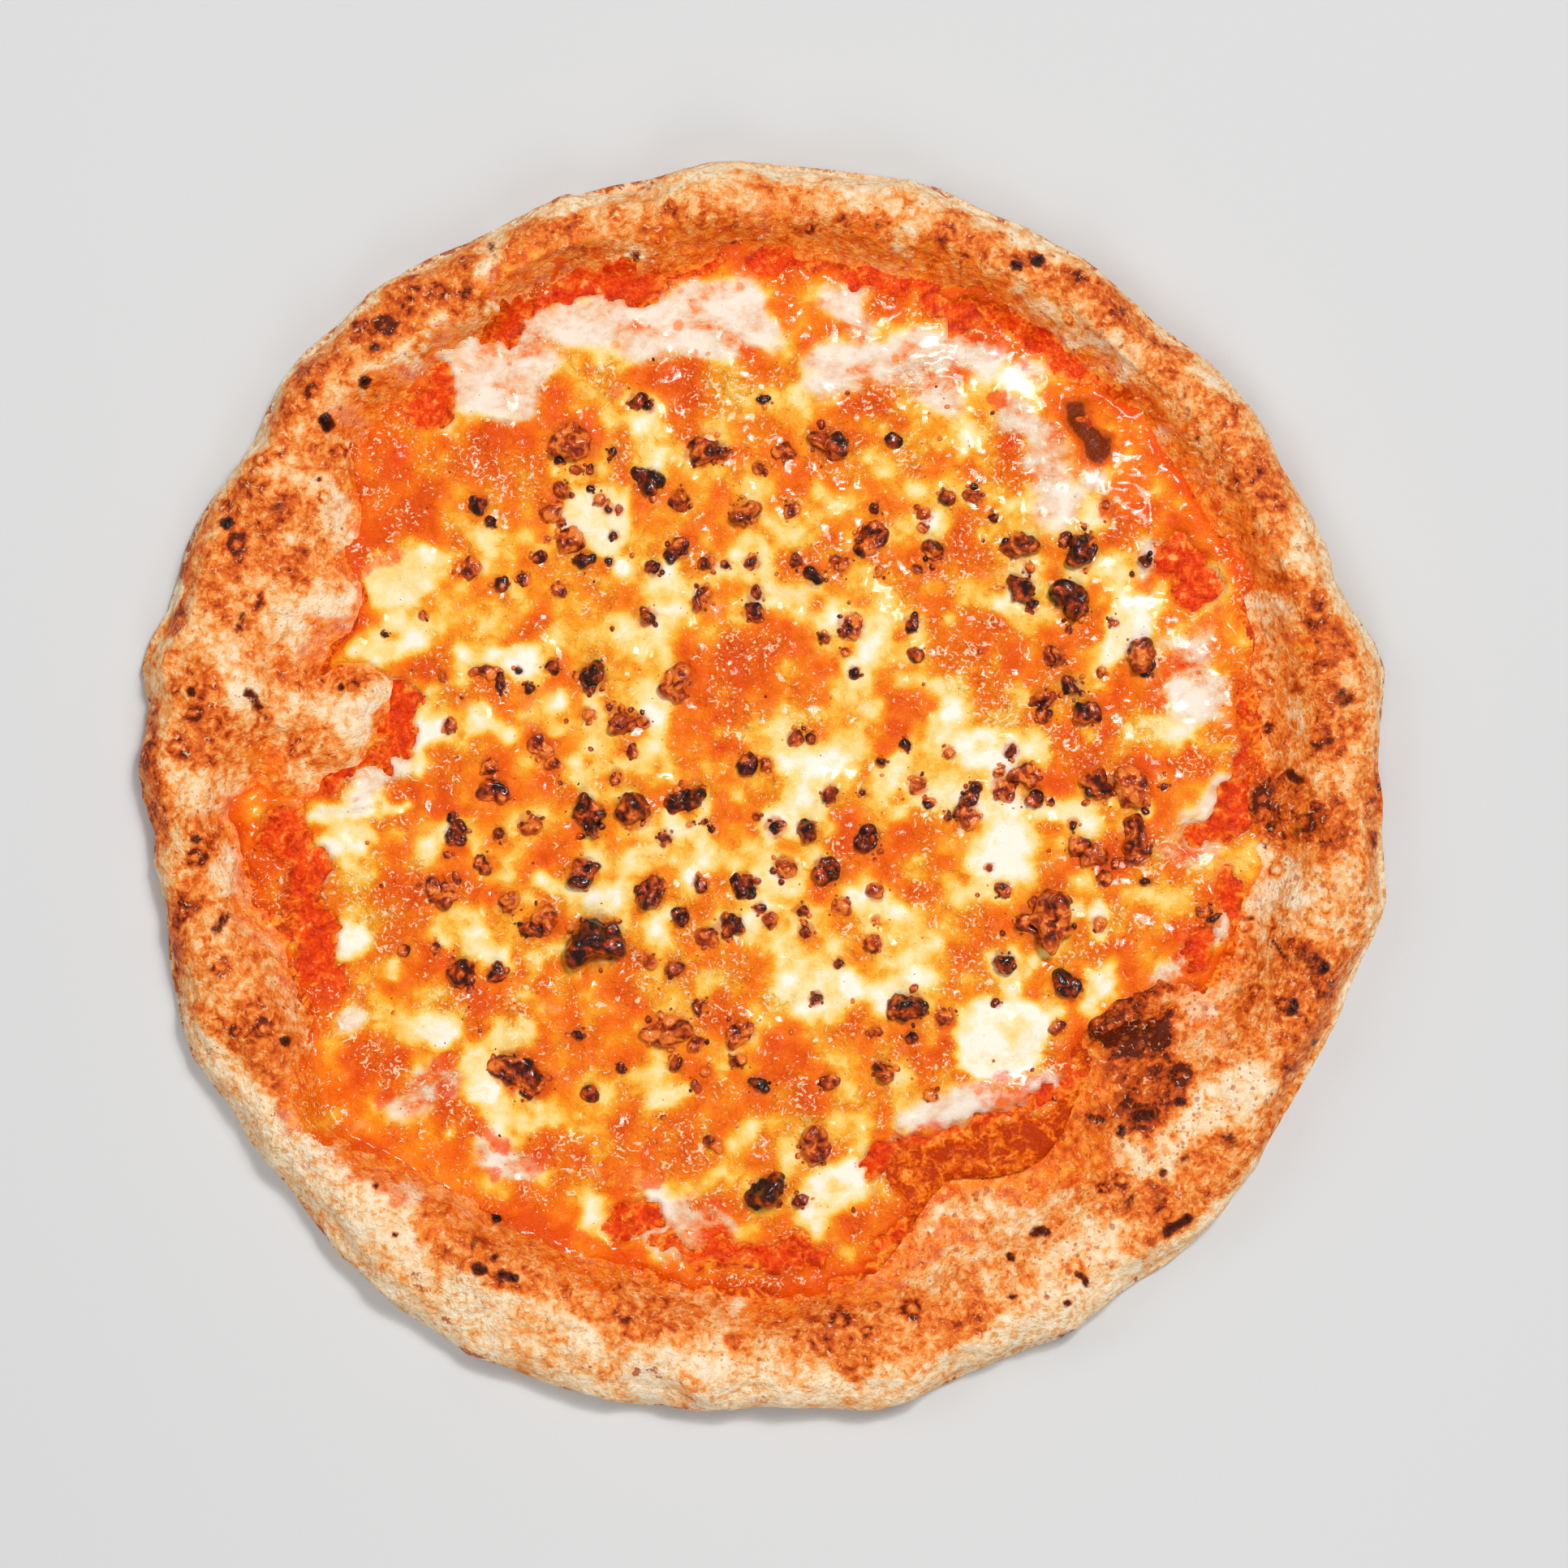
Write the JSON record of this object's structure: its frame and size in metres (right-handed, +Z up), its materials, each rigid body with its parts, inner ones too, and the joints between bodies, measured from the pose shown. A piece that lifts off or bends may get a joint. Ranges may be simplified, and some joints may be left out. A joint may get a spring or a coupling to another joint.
{
  "type": "cheese pizza",
  "caption": "Whole round cheese pizza: uneven blistered dough rim, tomato sauce at its foot, and a glossy melted cheese sheet with toasted brown lumps.",
  "frame": {"origin": "centre of the pizza's outline, on the flat underside of the dough", "axes": "+Z up through the cheese; +Y towards the edge that is the top of the plan view, +X to its right"},
  "size_m": [0.3442, 0.3442, 0.0212],
  "materials": {
    "crust": "baked dough, matt, golden brown with darker blisters and floury pale patches",
    "sauce": "wet, glossy tomato red",
    "cheese": "oily gloss, orange to cream, with dark brown toasted lumps"
  },
  "bodies": {
    "root": {"crust": "crust", "sauce": "sauce", "cheese": "cheese"}
  },
  "joints": []
}
